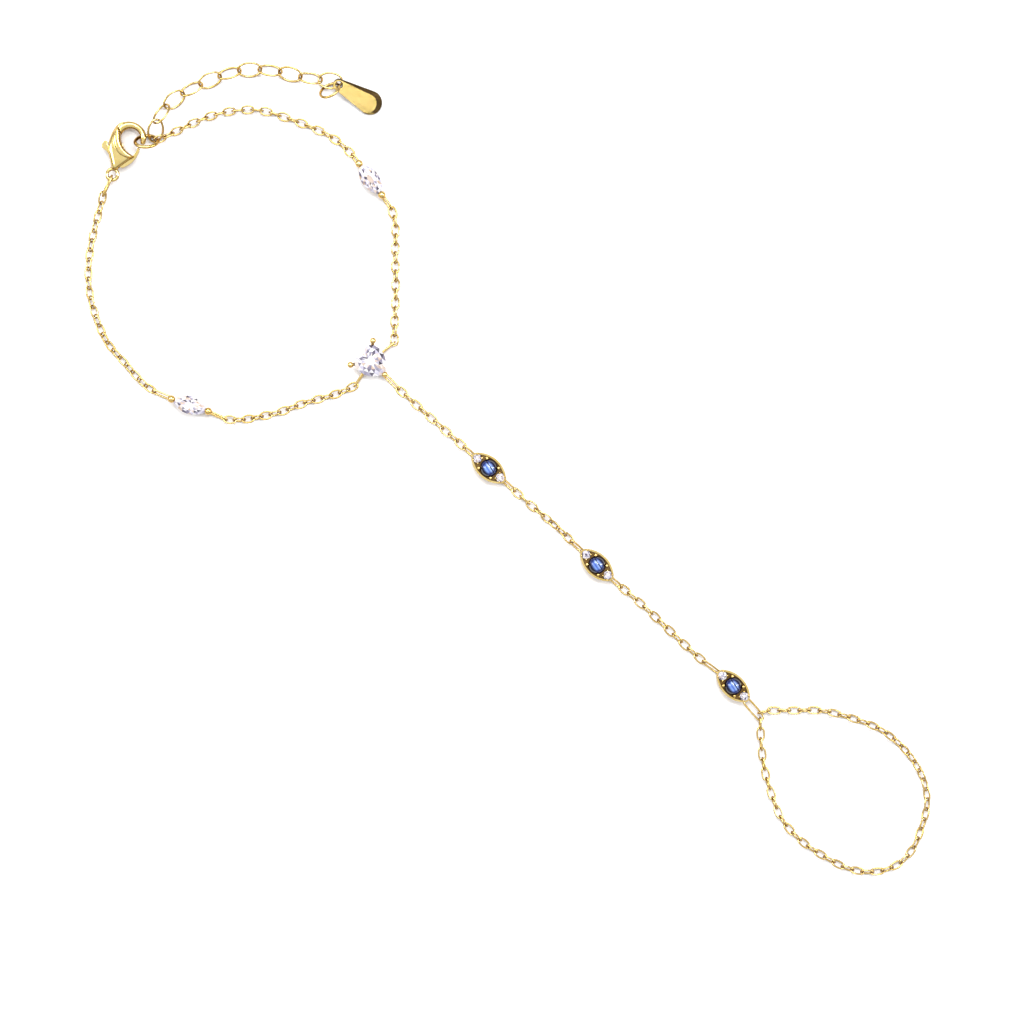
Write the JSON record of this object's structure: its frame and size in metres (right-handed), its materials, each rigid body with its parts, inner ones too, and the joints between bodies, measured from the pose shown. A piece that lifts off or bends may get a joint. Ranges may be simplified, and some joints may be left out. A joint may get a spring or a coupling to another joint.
{
  "type": "hand chain bracelet",
  "caption": "Gold-coloured hand chain bracelet: cable chain wrist loop, chain over the back of the hand to a finger loop, clear and blue stones, lobster clasp with extender.",
  "frame": {"origin": "under the middle of the jewel's box, on the surface it lies on", "axes": "X right and Y up in plan as it lies, +Z up from the surface"},
  "size_m": [0.1394, 0.1338, 0.0035],
  "materials": {
    "gold": "polished pale yellow gold plating",
    "clear_stone": "clear faceted crystal",
    "blue_stone": "polished dark blue cabochon"
  },
  "bodies": {
    "bracelet": {"chain_upper": "gold", "chain_right": "gold", "chain_lower": "gold", "chain_left": "gold", "hand_chain_a": "gold", "hand_chain_b": "gold", "hand_chain_c": "gold", "finger_chain": "gold", "extender_chain": "gold", "jump_ring": "gold", "tag_ring": "gold", "clasp_link": "gold", "clasp_body": "gold", "extender_tag": "gold", "marquise_setting_a": "gold", "marquise_setting_b": "gold", "heart_setting": "gold", "eye_setting_a": "gold", "eye_setting_b": "gold", "eye_setting_c": "gold", "marquise_stone_a": "clear_stone", "marquise_stone_b": "clear_stone", "heart_stone": "clear_stone", "side_stone_near_a": "clear_stone", "side_stone_far_a": "clear_stone", "side_stone_near_b": "clear_stone", "side_stone_far_b": "clear_stone", "side_stone_near_c": "clear_stone", "side_stone_far_c": "clear_stone", "cabochon_a": "blue_stone", "cabochon_b": "blue_stone", "cabochon_c": "blue_stone"},
    "clasp_lever": {"clasp_lever": "gold"}
  },
  "joints": [
    {"name": "clasp_lever", "type": "hinge", "parent": "bracelet", "child": "clasp_lever", "pos_m": [-0.06407, 0.05019, 0.00135], "axis": [0, 0, 1], "range_deg": [0, 18], "stiffness_Nm_per_rad": 0.004}
  ]
}
